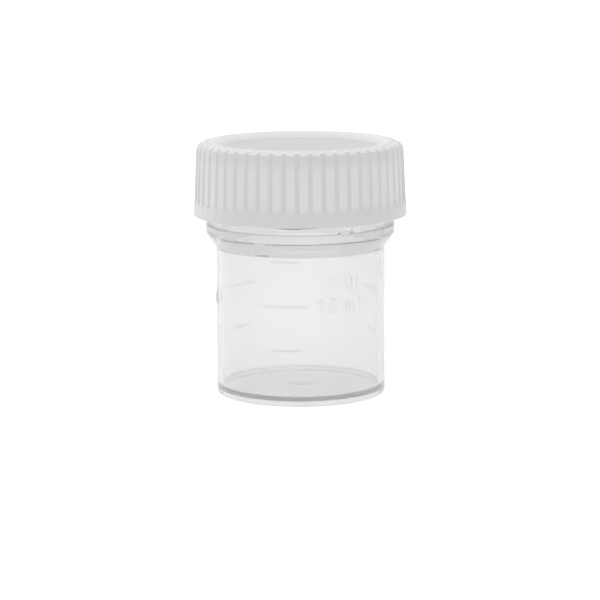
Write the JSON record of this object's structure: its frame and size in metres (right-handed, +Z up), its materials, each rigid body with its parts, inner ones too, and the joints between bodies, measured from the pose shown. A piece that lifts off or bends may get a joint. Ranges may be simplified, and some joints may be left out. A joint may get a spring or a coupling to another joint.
{
  "type": "screw-cap specimen container",
  "caption": "Straight-walled translucent specimen container with a flared collar, a threaded neck, a ribbed screw cap and a sealing disc.",
  "frame": {"origin": "centre of the foot ring, on the surface that the container stands on", "axes": "+Z up along the container's axis, -Y towards the front set of graduations"},
  "size_m": [0.0384, 0.0384, 0.0455],
  "materials": {
    "clear_plastic": "natural translucent moulding, smooth",
    "white_plastic": "white moulding, satin",
    "disc_plastic": "foamed sheet, matt"
  },
  "bodies": {
    "container": {"container": "clear_plastic"},
    "disc": {"sealing_disc": "disc_plastic"},
    "cap": {"screw_cap": "white_plastic"}
  },
  "joints": [
    {"name": "cap_lift", "type": "slide", "parent": "container", "child": "disc", "axis": [0, 0, 1], "range_m": [0, 0.014]},
    {"name": "cap_turn", "type": "hinge", "parent": "disc", "child": "cap", "pos_m": [0, 0, 0.0424], "axis": [0, 0, 1], "range_deg": [0, 1260]}
  ],
  "couplings": [
    {"joint": "cap_lift", "follows": "cap_turn", "m_per_rad": 0.00063662}
  ]
}
